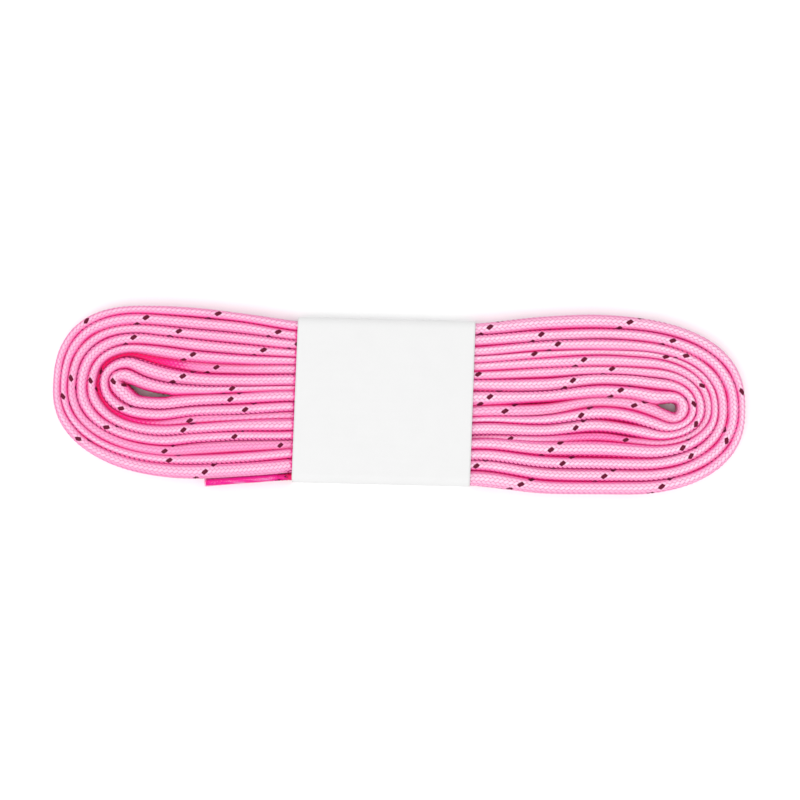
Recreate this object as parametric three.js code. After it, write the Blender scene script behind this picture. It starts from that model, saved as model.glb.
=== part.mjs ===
// A new pair of flat braided ice-skate laces, stored as one hank. The two laces are wound together,
// standing on edge, into a flattened spiral, and a blank paper band holds the spiral at its middle.
// Millimetres, +Z up. X runs along the hank, and the laces stand on their edges, so their width is Z.
import * as THREE from "three";

// ---- Driving dimensions -------------------------------------------------------------------------

const LACE_WIDTH = 9.5;
const LACE_THICK = 2.2;
const LOOPS = 8; // end loops at each end of the hank
const TIP_FIRST = 95.8; // from the middle of the hank to the inside of its innermost end loop
const TIP_PITCH = 2.78; // from loop to loop, at the ends of the hank

const PAPER = 0.2;
const GLUE = 0.1;
const GLUE_GAP = 0.02;
const BAND_LEFT = -35.7;
const BAND_RIGHT = 25.5;
const BAND_NEAR = -29.9; // outside of the band's wall on the -Y side
const BAND_FAR = 26.6;
const BAND_CORNER = 1.4;
const SEAM_INNER_END = -9.6; // where the layer that lies on the laces starts, under the hank
const SEAM_OUTER_END = 6.4; // where the outer layer ends, past it
const BAND_CLEARANCE = 0.25; // between the laces and the paper, above and below
const GLUE_INSET = 1.5; // from each end of the paper's overlap to the glue

const AGLET_LENGTH = 25.5;
const AGLET_THICK = 2.6;
const AGLET_HEIGHT = 5.4;
const AGLET_WALL = 0.25;
const AGLET_CORE_GAP = 0.12;
const END_GAP = 0.5; // between a strip of lace and its gathered end

const TAIL_PIVOT_X = -39.4;
const TAIL_TIP_X = -65.7;
const TAIL_GAP = 0.4; // between the loose tail and the stretch that the band holds
const TAIL_BARE = 1.3; // of the tail, between its pivot and its film

// Ends under the band.
const B_OUTER_TIP = -24;
const A_INNER_TIP = -4;
const B_INNER_TIP = 8;
const SLOT_CLOSING = 16; // how far past a lace's end its neighbours have closed up

// The stack of strands, as (x, y) stations joined by smooth steps.
const OUTER_TOP = [[-86.5, 29.2], [-37, 25.1], [27, 25.8], [66, 29.9]];
const OUTER_BOTTOM = [[-70, -32.6], [-37, -29.4], [27, -29.6], [56, -31.3]];
const MIDDLE = [
  [-94, 4], [-82, -0.4], [-76, -1], [-60, 0.4], [-37, 1.4],
  [26, -2.1], [60, 0.2], [74, 2.8], [86, 0.7],
];
const EYE = [[-94, 1.2], [-86, 2.4], [-74, 0.3], [83, 0.3], [94, 4.2]]; // height of the open middle

// Slots of the lower half, from the outside in: the loop that each one feeds, left and right.
const SLOTS = 10;
const LEFT_SLOT = (loop) => 11 - loop;
const RIGHT_SLOT = (loop) => 9 - loop;

// How finely the shapes are drawn.
const STRAND_STEP = 4;
const QUARTER_STEPS = 24; // in each quarter of an end loop
// The powers of the end loops' superellipse quarters, for the innermost loop and the outermost.
const UPPER_POWERS = [2, 2.55];
const LOWER_POWERS = [2, 2.2];
const ROUND_STEPS = 6; // in each rounded edge and corner
const ROUTE_STEP = 0.5;
const ROUTE_EASING = 30; // passes of smoothing over a route, in steps of ROUTE_STEP
const ROUTE_WITHIN = 0.05; // how far the modelled line may lie from the route

// Levels.
const LACE_BASE = PAPER + GLUE + 2 * GLUE_GAP + PAPER + BAND_CLEARANCE;
const LACE_TOP = LACE_BASE + LACE_WIDTH;
const BAND_TOP = LACE_TOP + BAND_CLEARANCE + PAPER;

// ---- Materials ----------------------------------------------------------------------------------

const lacePink = new THREE.MeshStandardMaterial({ color: 0xf7b3cc, roughness: 0.85, metalness: 0 });
const laceRose = new THREE.MeshStandardMaterial({ color: 0xf3a3c2, roughness: 0.85, metalness: 0 });
const film = new THREE.MeshStandardMaterial({ color: 0xf03a9b, roughness: 0.15, metalness: 0 });
const paper = new THREE.MeshStandardMaterial({ color: 0xf4f4f4, roughness: 0.7, metalness: 0 });
const glue = new THREE.MeshStandardMaterial({ color: 0xe8e2c8, roughness: 0.4, metalness: 0 });

// ---- Strands and loops --------------------------------------------------------------------------

const mix = (a, b, t) => a + (b - a) * t;

function smooth(t) {
  const held = Math.min(Math.max(t, 0), 1);
  return held * held * (3 - 2 * held);
}

// The height at x of a line that steps smoothly from station to station.
function through(stations, x) {
  let y = stations[0][1];
  for (let i = 1; i < stations.length; i++) {
    const [xa, ya] = stations[i - 1];
    const [xb, yb] = stations[i];
    if (x > xa) y = mix(ya, yb, smooth((x - xa) / (xb - xa)));
  }
  return y;
}

// How much of each lower slot is taken at x. A slot closes up past the end of the lace in it.
function slotShares(x) {
  const shares = new Array(SLOTS).fill(1);
  shares[1] = smooth((x - BAND_LEFT) / (B_OUTER_TIP - BAND_LEFT));
  shares[8] = 1 - smooth((x - A_INNER_TIP) / SLOT_CLOSING);
  shares[9] = 1 - smooth((x - B_INNER_TIP) / SLOT_CLOSING);
  return shares;
}

function upperStrand(loop, x) {
  const low = through(MIDDLE, x);
  return low + ((through(OUTER_TOP, x) - low) * (loop - 0.5)) / LOOPS;
}

function lowerStrand(slot, x) {
  const shares = slotShares(x);
  const sum = (list) => list.reduce((a, b) => a + b, 0);
  const low = through(OUTER_BOTTOM, x);
  const high = through(MIDDLE, x) - through(EYE, x);
  const below = sum(shares.slice(0, slot - 1)) + shares[slot - 1] / 2;
  return low + ((high - low) * below) / sum(shares);
}

// One end of the hank: where its loops turn, for the innermost loop and the outermost.
const ENDS = {
  left: {
    side: -1,
    slot: LEFT_SLOT,
    upperTurn: [-93, -86.5],
    lowerTurn: [-93, -72],
    tipHeight: (t) => mix(3.6, 0.5, Math.min(1, 1.6 * t)),
  },
  right: {
    side: 1,
    slot: RIGHT_SLOT,
    upperTurn: [94, 66],
    lowerTurn: [94, 78],
    tipHeight: (t) => mix(-1.4, -2.5, t),
  },
};

// A loop from the upper strand round the end to the lower strand, as two quarters of superellipses.
function endLoop(end, loop) {
  const share = (loop - 1) / (LOOPS - 1);
  const upperX = mix(...end.upperTurn, share);
  const lowerX = mix(...end.lowerTurn, share);
  const tipX = end.side * (TIP_FIRST + TIP_PITCH * (loop - 0.5));
  const tipY = end.tipHeight(share);
  const points = [];
  for (let i = 0; i <= 2 * QUARTER_STEPS; i++) {
    const turn = (i / QUARTER_STEPS) * (Math.PI / 2);
    const upper = i <= QUARTER_STEPS;
    const power = 2 / mix(...(upper ? UPPER_POWERS : LOWER_POWERS), share);
    const out = Math.abs(Math.sin(turn)) ** power;
    const up = Math.abs(Math.cos(turn)) ** power;
    const x = upper ? upperX : lowerX;
    const y = upper ? upperStrand(loop, upperX) : lowerStrand(end.slot(loop), lowerX);
    points.push(new THREE.Vector2(mix(x, tipX, out), mix(tipY, y, up)));
  }
  return { points, upperX, lowerX };
}

// A strand as points, without its last point, where a loop takes over.
function strand(height, from, to) {
  const count = Math.max(2, Math.ceil(Math.abs(to - from) / STRAND_STEP));
  const points = [];
  for (let i = 0; i < count; i++) {
    const x = mix(from, to, i / count);
    points.push(new THREE.Vector2(x, height(x)));
  }
  return points;
}

// A lace from its outer end, round every second loop, to its inner end.
function laceRoute(outerSlot, outerLoop, outerX, innerX) {
  const points = [];
  let slot = outerSlot;
  let x = outerX;
  for (let loop = outerLoop; loop > 0; loop -= 2) {
    const right = endLoop(ENDS.right, loop);
    const left = endLoop(ENDS.left, loop);
    const below = slot;
    points.push(...strand((at) => lowerStrand(below, at), x, right.lowerX));
    points.push(...right.points.reverse().slice(0, -1));
    points.push(...strand((at) => upperStrand(loop, at), right.upperX, left.upperX));
    points.push(...left.points.slice(0, -1));
    slot = LEFT_SLOT(loop);
    x = left.lowerX;
  }
  points.push(...strand((at) => lowerStrand(slot, at), x, innerX));
  points.push(new THREE.Vector2(innerX, lowerStrand(slot, innerX)));
  return eased(evenly(points, ROUTE_STEP), ROUTE_EASING);
}

function evenly(points, step) {
  const path = new THREE.CurvePath();
  for (let i = 1; i < points.length; i++) path.add(new THREE.LineCurve(points[i - 1], points[i]));
  return path.getSpacedPoints(Math.round(path.getLength() / step));
}

function eased(points, passes) {
  let line = points;
  for (let pass = 0; pass < passes; pass++) {
    const last = line.length - 1;
    const between = (i) => line[i - 1].clone().add(line[i + 1]).divideScalar(2);
    line = line.map((p, i) => (i === 0 || i === last ? p : p.clone().lerp(between(i), 0.5)));
  }
  return line;
}

// The same line with only the points that it needs to stay within a distance of it.
function thinned(points, within) {
  const first = points[0];
  const last = points[points.length - 1];
  const chord = new THREE.Line3(
    new THREE.Vector3(first.x, first.y, 0),
    new THREE.Vector3(last.x, last.y, 0),
  );
  const nearest = new THREE.Vector3();
  let furthest = 0;
  let at = 0;
  points.forEach((p, i) => {
    const here = new THREE.Vector3(p.x, p.y, 0);
    const away = chord.closestPointToPoint(here, true, nearest).distanceTo(here);
    if (away > furthest) {
      furthest = away;
      at = i;
    }
  });
  if (furthest <= within) return [first, last];
  return [...thinned(points.slice(0, at + 1), within).slice(0, -1), ...thinned(points.slice(at), within)];
}

// ---- Solids -------------------------------------------------------------------------------------

// The outline of a strip that follows a line, thick across it.
function stripOutline(line, thick) {
  const sideways = line.map((_, i) => {
    const before = line[Math.max(i - 1, 0)];
    const after = line[Math.min(i + 1, line.length - 1)];
    const along = after.clone().sub(before).normalize();
    return new THREE.Vector2(-along.y, along.x);
  });
  const edge = (offset) => line.map((p, i) => p.clone().addScaledVector(sideways[i], offset));
  return [...edge(-thick / 2), ...edge(thick / 2).reverse()];
}

function extruded(outline, depth) {
  return new THREE.ExtrudeGeometry(new THREE.Shape(outline), { depth, bevelEnabled: false });
}

// A strip of lace that stands on its edge along a line in plan.
function laceStrip(name, line, material) {
  const outline = stripOutline(thinned(line, ROUTE_WITHIN), LACE_THICK);
  const mesh = new THREE.Mesh(extruded(outline, LACE_WIDTH), material);
  mesh.name = name;
  mesh.position.z = LACE_BASE;
  return mesh;
}

// A slot-shaped section, round at its top and bottom.
function roundedSection(width, height) {
  const radius = width / 2;
  const straight = height / 2 - radius;
  const half = (start, level) => {
    const points = [];
    for (let i = 0; i <= ROUND_STEPS; i++) {
      const turn = start + (Math.PI * i) / ROUND_STEPS;
      points.push(new THREE.Vector2(radius * Math.cos(turn), level + radius * Math.sin(turn)));
    }
    return points;
  };
  return [...half(0, straight), ...half(Math.PI, -straight)];
}

// Turns a section's x to Y, its y to Z and its depth to X.
const ALONG_X = new THREE.Matrix4().makeBasis(
  new THREE.Vector3(0, 1, 0),
  new THREE.Vector3(0, 0, 1),
  new THREE.Vector3(1, 0, 0),
);

// An aglet: a tube of clear film, pressed flat over the end of a lace, from its mouth to its tip.
function aglet(name, mouth, tip, middleZ) {
  const shape = new THREE.Shape(roundedSection(AGLET_THICK, AGLET_HEIGHT));
  const bore = roundedSection(AGLET_THICK - 2 * AGLET_WALL, AGLET_HEIGHT - 2 * AGLET_WALL);
  shape.holes.push(new THREE.Path(bore));
  const along = tip.clone().sub(mouth);
  const geometry = new THREE.ExtrudeGeometry(shape, { depth: along.length(), bevelEnabled: false });
  const mesh = new THREE.Mesh(geometry.applyMatrix4(ALONG_X), film);
  mesh.name = name;
  mesh.position.set(mouth.x, mouth.y, middleZ);
  mesh.rotation.z = along.angle();
  return mesh;
}

// The last stretch of a lace, gathered small enough to fill its aglet.
function gatheredEnd(name, from, to, middleZ, material) {
  const across = AGLET_THICK - 2 * (AGLET_WALL + AGLET_CORE_GAP);
  const tall = AGLET_HEIGHT - 2 * (AGLET_WALL + AGLET_CORE_GAP);
  const along = to.clone().sub(from);
  const outline = roundedSection(across, tall);
  const geometry = extruded(outline, along.length()).applyMatrix4(ALONG_X);
  const mesh = new THREE.Mesh(geometry, material);
  mesh.name = name;
  mesh.position.set(from.x, from.y, middleZ);
  mesh.rotation.z = along.angle();
  return mesh;
}

// The paper band's section: one strip from under the laces, round them, and back under itself.
function bandSection() {
  const half = PAPER / 2;
  const near = BAND_NEAR + half;
  const far = BAND_FAR - half;
  const top = BAND_TOP - half;
  const innerLevel = PAPER + GLUE + 2 * GLUE_GAP + half;
  const corner = (y, z, start) => {
    const points = [];
    for (let i = 0; i <= ROUND_STEPS; i++) {
      const turn = start + (Math.PI / 2) * (i / ROUND_STEPS);
      points.push(new THREE.Vector2(y + BAND_CORNER * Math.cos(turn), z + BAND_CORNER * Math.sin(turn)));
    }
    return points;
  };
  return stripOutline(
    [
      new THREE.Vector2(SEAM_INNER_END, innerLevel),
      ...corner(far - BAND_CORNER, innerLevel + BAND_CORNER, -Math.PI / 2),
      ...corner(far - BAND_CORNER, top - BAND_CORNER, 0),
      ...corner(near + BAND_CORNER, top - BAND_CORNER, Math.PI / 2),
      ...corner(near + BAND_CORNER, half + BAND_CORNER, Math.PI),
      new THREE.Vector2(SEAM_OUTER_END, half),
    ],
    PAPER,
  );
}

function bandPiece(name, outline, material) {
  const length = BAND_RIGHT - BAND_LEFT;
  const mesh = new THREE.Mesh(extruded(outline, length).applyMatrix4(ALONG_X), material);
  mesh.name = name;
  mesh.position.x = BAND_LEFT;
  return mesh;
}

// ---- The hank -----------------------------------------------------------------------------------

const hank = new THREE.Group();

// The stretch of a route from where its aglet stops, and the two ends of that aglet.
function withoutEnd(line, length) {
  const keep = line.findIndex((p) => p.distanceTo(line[0]) > length);
  return { rest: line.slice(keep), mouth: line[keep], tip: line[0] };
}

function pointAlong(from, to, distance) {
  return from.clone().lerp(to, distance / from.distanceTo(to));
}

const agletLevel = LACE_BASE + AGLET_HEIGHT / 2;
const hiddenLevel = LACE_BASE + LACE_WIDTH / 2;

// Lace A starts where the band lets its tail out and stops at an aglet under the band.
const routeA = laceRoute(1, 8, TAIL_PIVOT_X + LACE_THICK / 2 + TAIL_GAP, A_INNER_TIP);
const innerA = withoutEnd(routeA.slice().reverse(), AGLET_LENGTH);
hank.add(laceStrip("lace_a", innerA.rest, lacePink));

// Lace B has both its ends under the band.
const routeB = laceRoute(2, 7, B_OUTER_TIP, B_INNER_TIP);
const outerB = withoutEnd(routeB, AGLET_LENGTH);
const innerB = withoutEnd(outerB.rest.slice().reverse(), AGLET_LENGTH);
hank.add(laceStrip("lace_b", innerB.rest, laceRose));

const hiddenEnds = [
  ["lace_a_inner", innerA, lacePink],
  ["lace_b_outer", outerB, laceRose],
  ["lace_b_inner", innerB, laceRose],
];
for (const [name, end, material] of hiddenEnds) {
  const mouth = pointAlong(end.mouth, end.tip, END_GAP);
  hank.add(aglet(`${name}_aglet`, mouth, end.tip, hiddenLevel));
  hank.add(gatheredEnd(`${name}_end`, mouth, end.tip, hiddenLevel, material));
}

// ---- The loose tail of lace A -------------------------------------------------------------------

const tail = new THREE.Group();
const pivot = new THREE.Vector2(TAIL_PIVOT_X, lowerStrand(1, TAIL_PIVOT_X));
const tailTip = new THREE.Vector2(TAIL_TIP_X, lowerStrand(1, TAIL_TIP_X));
tail.add(gatheredEnd("lace_a_tail", pivot, tailTip, agletLevel, lacePink));
const filmMouth = pointAlong(pivot, tailTip, TAIL_BARE);
tail.add(aglet("lace_a_outer_aglet", filmMouth, tailTip, agletLevel));

// ---- The paper band -----------------------------------------------------------------------------

const band = new THREE.Group();
band.add(bandPiece("paper_band", bandSection(), paper));

const glueBase = PAPER + GLUE_GAP;
const gluePatch = [
  new THREE.Vector2(SEAM_INNER_END + GLUE_INSET, glueBase),
  new THREE.Vector2(SEAM_OUTER_END - GLUE_INSET, glueBase),
  new THREE.Vector2(SEAM_OUTER_END - GLUE_INSET, glueBase + GLUE),
  new THREE.Vector2(SEAM_INNER_END + GLUE_INSET, glueBase + GLUE),
];
band.add(bandPiece("band_glue", gluePatch, glue));

// ---- The whole, standing on the band's underside, with the origin under its middle --------------

const laces = new THREE.Group();
laces.add(hank, tail, band);
const extent = new THREE.Box3().setFromObject(laces);
const middle = extent.getCenter(new THREE.Vector3());
laces.position.set(-middle.x, -middle.y, -extent.min.z);

export default laces;
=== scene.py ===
"""The looks of a banded pair of ice-skate laces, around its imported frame.

Shapes are worked out in millimetres in the hank's own plan, with X along the hank, Y across it and Z
up from the band's underside. placed() takes them to metres in the row frame.
"""

import math

import bpy
import numpy as np
from mathutils import Matrix, Vector


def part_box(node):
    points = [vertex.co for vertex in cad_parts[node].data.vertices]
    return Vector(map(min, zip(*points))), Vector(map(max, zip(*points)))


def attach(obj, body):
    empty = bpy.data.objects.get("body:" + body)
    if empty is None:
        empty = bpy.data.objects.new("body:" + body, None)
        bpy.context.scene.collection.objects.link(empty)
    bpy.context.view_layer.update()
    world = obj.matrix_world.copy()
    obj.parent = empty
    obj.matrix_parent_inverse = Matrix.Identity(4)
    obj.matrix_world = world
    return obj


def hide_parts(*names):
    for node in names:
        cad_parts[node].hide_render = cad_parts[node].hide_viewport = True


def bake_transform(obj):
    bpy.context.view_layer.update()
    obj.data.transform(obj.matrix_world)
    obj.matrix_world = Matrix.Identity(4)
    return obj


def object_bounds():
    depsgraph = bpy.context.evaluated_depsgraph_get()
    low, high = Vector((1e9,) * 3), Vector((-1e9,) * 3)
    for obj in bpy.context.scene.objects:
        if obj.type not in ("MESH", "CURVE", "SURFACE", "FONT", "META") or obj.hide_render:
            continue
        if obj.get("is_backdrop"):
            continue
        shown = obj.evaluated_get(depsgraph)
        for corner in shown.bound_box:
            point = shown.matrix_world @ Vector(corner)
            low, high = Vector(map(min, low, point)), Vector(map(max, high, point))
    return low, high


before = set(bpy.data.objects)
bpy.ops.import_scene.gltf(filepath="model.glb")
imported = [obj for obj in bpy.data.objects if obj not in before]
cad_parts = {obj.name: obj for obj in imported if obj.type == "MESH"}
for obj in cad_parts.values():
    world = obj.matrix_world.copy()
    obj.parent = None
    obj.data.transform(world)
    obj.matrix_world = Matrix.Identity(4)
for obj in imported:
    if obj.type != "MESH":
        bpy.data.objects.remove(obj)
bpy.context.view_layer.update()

MM = 0.001

# ---- Sizes that the frame and this script share ---------------------------------------------------

BAND_LEFT = -35.7
BAND_RIGHT = 25.5
BAND_NEAR = -29.9
BAND_FAR = 26.6
BAND_SLANT = 0.7  # how much further left the band's ends are along its near edge than its far edge
BAND_ROUND_TOP = 2.6
BAND_ROUND_LOW = 1.4
SEAM_INNER_END = -9.6
SEAM_OUTER_END = 6.4
PAPER = 0.2
GLUE = 0.1

LACE_WIDTH = 9.5  # of the flat lace, which is its height where it stands on its edge
AGLET_LENGTH = 25.5
AGLET_THICK = 2.6
AGLET_HEIGHT = 5.4
AGLET_WALL = 0.25
GATHERED_THICK = 2.0
GATHERED_HEIGHT = 4.6

TAIL_PIVOT_X = -39.4
TAIL_TIP_X = -65.7
TAIL_BARE = 1.3
B_OUTER_TIP = -24
A_INNER_TIP = -4
B_INNER_TIP = 8

band_low, band_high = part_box("paper_band")
lace_low, lace_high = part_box("lace_a")
PLAN_ORIGIN = np.array([band_low.x / MM - BAND_LEFT, band_low.y / MM - BAND_NEAR])
LACE_BASE = lace_low.z / MM
LACE_TOP = lace_high.z / MM
BAND_TOP = band_high.z / MM


def placed(points):
    """Points of the plan, in millimetres, as metres in the row frame."""
    points = np.asarray(points, float).copy()
    points[..., :2] += PLAN_ORIGIN
    return points * MM


# ---- Camera ---------------------------------------------------------------------------------------

CAMERA_LENS = 85
CAMERA_SENSOR = 36
VIEW_WIDTH = 272  # how much of the level of the laces' top edges the picture spans
VIEW_CENTRE = (0.4, -1.1)
VIEW_ELEVATION = 87
VIEW_ROLL = 1.4


def make_camera():
    data = bpy.data.cameras.new("camera")
    data.lens = CAMERA_LENS
    data.sensor_width = CAMERA_SENSOR
    data.clip_start = 0.01
    data.clip_end = 20
    camera = bpy.data.objects.new("camera", data)
    bpy.context.scene.collection.objects.link(camera)
    rise, roll = math.radians(VIEW_ELEVATION), math.radians(VIEW_ROLL)
    back = Vector((0, -math.cos(rise), math.sin(rise)))
    up = Vector((-math.sin(roll), math.cos(roll), 0))
    up = (up - back * up.dot(back)).normalized()
    target = Vector(placed((*VIEW_CENTRE, LACE_TOP)))
    away = VIEW_WIDTH * MM * CAMERA_LENS / CAMERA_SENSOR
    turned = Matrix((up.cross(back), up, back)).transposed()
    camera.matrix_world = Matrix.Translation(target + back * away) @ turned.to_4x4()
    bpy.context.scene.camera = camera


make_camera()

# ---- The strands of the hank ----------------------------------------------------------------------

LOOPS = 8
SLOTS = 10
# Where the strands' edges lie across the hank: a station's X, then Y from strand to strand. The upper
# rows run from the outermost strand, of loop 8, to the innermost, of loop 1. The lower rows run from
# slot 10, the innermost, to slot 1. A slot with no width holds no strand there.
UPPER_EDGES = [
    (-93, [28.6, 26.4, 22.9, 19.7, 15.9, 13.5, 11.9, 8.0, 3.2]),
    (-88, [28.9, 26.6, 22.8, 19.8, 15.9, 13.0, 10.7, 5.4, 0.9]),
    (-82, [29.0, 26.4, 22.5, 19.2, 15.5, 12.0, 9.0, 3.6, -0.5]),
    (-70, [28.6, 25.8, 21.5, 18.2, 14.2, 10.6, 6.9, 2.2, -0.7]),
    (-55, [27.2, 24.6, 20.5, 17.0, 13.1, 10.0, 6.5, 2.3, 0.2]),
    (-37, [25.1, 22.0, 18.7, 15.6, 12.7, 10.3, 6.9, 3.0, 1.4]),
    (27, [25.8, 22.0, 18.0, 14.7, 12.5, 9.5, 6.7, 3.0, -2.3]),
    (50, [28.7, 24.3, 20.4, 17.1, 14.7, 11.4, 7.9, 3.4, -0.6]),
    (70, [29.8, 25.3, 21.5, 17.9, 16.1, 12.3, 9.8, 5.9, 1.9]),
    (82, [29.1, 25.1, 21.3, 17.9, 15.6, 12.2, 9.5, 5.3, 1.2]),
    (86.5, [28.7, 24.8, 21.1, 17.6, 15.3, 11.9, 9.0, 4.9, 0.0]),
    (94, [27.5, 24.0, 20.4, 16.8, 14.6, 11.0, 7.9, 4.3, 0.6]),
]
LOWER_EDGES = [
    (-90, [-1.7, -5.7, -9.4, -10.9, -14.6, -18.3, -21.7, -24.3, -27.8, -27.8, -30.8]),
    (-82, [-2.1, -6.4, -9.8, -11.6, -15.2, -18.9, -22.2, -24.6, -28.7, -28.7, -31.7]),
    (-70, [-0.7, -4.9, -8.1, -10.7, -14.2, -17.3, -21.5, -24.6, -29.3, -29.3, -32.4]),
    (-55, [0.2, -3.8, -7.3, -9.3, -13.1, -16.0, -20.3, -23.8, -28.3, -28.3, -31.2]),
    (-37, [1.4, -2.5, -5.8, -8.3, -12.6, -15.3, -18.6, -21.8, -26.4, -26.5, -29.4]),
    (-24, [1.0, -2.2, -5.2, -7.8, -11.4, -14.3, -17.2, -20.2, -23.8, -26.4, -29.4]),
    (-11, [0.1, -2.9, -5.7, -8.5, -11.5, -14.7, -17.2, -20.2, -23.5, -26.4, -29.5]),
    (-4, [-0.5, -3.3, -6.0, -8.7, -11.6, -14.7, -17.3, -20.2, -23.4, -26.3, -29.5]),
    (12, [-1.6, -4.4, -4.4, -7.4, -9.9, -13.6, -15.6, -18.9, -22.5, -25.6, -29.5]),
    (27, [-2.3, -2.3, -2.3, -6.1, -7.9, -12.4, -13.6, -17.1, -20.9, -24.2, -29.5]),
    (50, [-0.6, -0.6, -0.6, -5.2, -8.0, -12.1, -14.0, -18.9, -22.9, -27.1, -31.4]),
    (70, [1.9, 1.9, 1.9, -1.6, -5.9, -10.3, -13.3, -18.8, -22.9, -27.1, -31.2]),
    (82, [1.1, 1.1, 1.1, -3.1, -7.6, -11.8, -14.1, -18.9, -22.8, -26.7, -31.0]),
    (86.5, [-0.3, -0.3, -0.3, -4.6, -8.8, -12.3, -14.4, -18.9, -22.6, -26.5, -30.8]),
    (94, [-3.3, -3.3, -3.3, -7.5, -10.7, -13.0, -15.0, -18.8, -22.3, -26.2, -30.2]),
]
# The end loops: their edges along X where they turn, from the outermost to the innermost; the X where
# the innermost and the outermost leave their strands; and the Y of their tips.
ENDS = {
    "left": {
        "tips": [-118.0, -115.5, -113.3, -110.2, -106.5, -103.5, -102.2, -99.4, -95.5],
        "upper_turn": (-93, -86.5),
        "lower_turn": (-88, -72),
        "tip_y": ((0, 3.8), (0.6, 0.5), (1, 0.5)),
    },
    "right": {
        "tips": [118.1, 116.0, 112.4, 109.0, 106.9, 104.4, 101.7, 99.4, 95.4],
        "upper_turn": (94, 66),
        "lower_turn": (94, 78),
        "tip_y": ((0, -1.4), (1, -2.5)),
    },
}
# The powers of the end loops' superellipse quarters, for the innermost loop and the outermost.
UPPER_POWERS = (2, 2.55)
LOWER_POWERS = (2, 2.2)
QUARTER_STEPS = 24

# How far the top edge of a strand lies below its neighbours', at stations along X.
SUNK_UPPER = {3: [(-100, 1.6), (-88, 1.6), (-72, 1.1), (-55, 0.6), (-40, 0.3)]}
SUNK_LOWER = {
    8: [(-100, 1.6), (-85, 1.2), (-70, 0.8), (-40, 0.6)],
    5: [(27, 0.8), (45, 0.6), (58, 1.1), (78, 1.1), (90, 0.7)],
}
SUNK_TIP = {("left", 3): 1.8}
# The innermost loop on the left twists in its lower half, where it shows more of its width.
WIDER_LOWER = {("left", 1): 2.0}
BULGE_MOVES = 0.35  # how far its middle moves in for each mm that it shows more
THIN_STRAND = 2.8  # a strand that shows less than this is sunk in proportion
THIN_SINKS = 0.6

RING_STEP = 0.52
EASING_PASSES = 12

# Where the dark marker thread passes over the top edge of a strand.
MARKERS_UPPER = {
    8: [78.3, 30.7, -62.5],
    7: [90.4, 47.8, -41.5, -88.4],
    6: [98, 53.9, -35, -75.5],
    5: [90.2, 45.6, -46.3, -91.6],
    4: [62.7, -70.5],
    3: [72.5, 27, -62.4],
    2: [59.1, -74],
    1: [75.6, 31, -56.9],
}
MARKERS_LOWER = {
    1: [42, 89.6],
    2: [27, 70.5],
    3: [-65, 56, 98],
    4: [-78.9, 52, 99],
    5: [-80.4, 77.7],
    6: [-55.2, 60.2],
    7: [-73.4, 62.3],
    8: [-71.3, 36.6, 80.5],
    9: [-52.3],
    10: [-57.5],
}
MARKER_PERIOD = 44.7
MARK_WITHIN = 3  # of a mark's X, for a lace to be the one that it is on


def between(stations, x):
    """Rows of values at x, joined from station to station by smooth cubic pieces."""
    at = np.array([s[0] for s in stations], float)
    rows = np.array([np.atleast_1d(s[1]) for s in stations], float)
    slope = np.gradient(rows, at, axis=0)
    x = np.clip(np.atleast_1d(np.asarray(x, float)), at[0], at[-1])
    i = np.clip(np.searchsorted(at, x) - 1, 0, len(at) - 2)
    gap = (at[i + 1] - at[i])[:, None]
    t = (x[:, None] - at[i][:, None]) / gap
    return (
        (2 * t**3 - 3 * t**2 + 1) * rows[i]
        + (t**3 - 2 * t**2 + t) * gap * slope[i]
        + (3 * t**2 - 2 * t**3) * rows[i + 1]
        + (t**3 - t**2) * gap * slope[i + 1]
    )


def linear(stations, x):
    at, values = zip(*stations)
    return np.interp(x, at, values)


def edges_of(half, number, x):
    """Outer and inner edge of a strand: half is upper, by loop, or lower, by slot."""
    if half == "upper":
        rows = between(UPPER_EDGES, x)
        return rows[:, LOOPS - number], rows[:, LOOPS + 1 - number]
    rows = between(LOWER_EDGES, x)
    return rows[:, SLOTS - number], rows[:, SLOTS + 1 - number]


# Columns of a line before it becomes a mesh.
X, Y, WIDE, SUNK, STRAND = range(5)


def strand_at(half, number, x):
    """Rows of a strand's line at x. STRAND is its loop, or minus its slot."""
    x = np.atleast_1d(np.asarray(x, float))
    high, low = edges_of(half, number, x)
    wide = np.maximum(high - low, 0.2)
    table = (SUNK_UPPER if half == "upper" else SUNK_LOWER).get(number)
    sunk = np.zeros_like(x) if table is None else linear(table, x)
    name = np.full_like(x, number if half == "upper" else -number)
    return np.column_stack([x, (high + low) / 2, wide, sunk, name])


def strand(half, number, start, end):
    count = max(3, int(abs(end - start) / 2))
    return strand_at(half, number, np.linspace(start, end, count))[:-1]


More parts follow.
